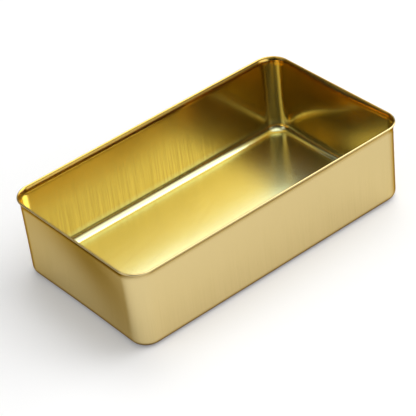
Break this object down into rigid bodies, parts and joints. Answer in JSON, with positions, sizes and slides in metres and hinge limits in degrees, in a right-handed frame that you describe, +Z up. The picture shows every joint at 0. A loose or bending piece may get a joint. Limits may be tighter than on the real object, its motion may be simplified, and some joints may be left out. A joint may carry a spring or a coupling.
{
  "type": "rectangular tin",
  "caption": "Open rectangular tin drawn from one sheet, with rounded corners, tapered walls and a flared mouth whose rim is rolled inwards into a small bead.",
  "frame": {"origin": "middle of the underside of the flat floor, on the surface that the tin stands on", "axes": "+X along the tin's length, +Y across its width, +Z up through the open mouth"},
  "size_m": [0.2, 0.114, 0.053],
  "materials": {
    "lacquered_tinplate": "gold lacquer over bright tinplate, glossy, with faint upright draw lines"
  },
  "bodies": {
    "root": {"tin_body": "lacquered_tinplate"}
  },
  "joints": []
}
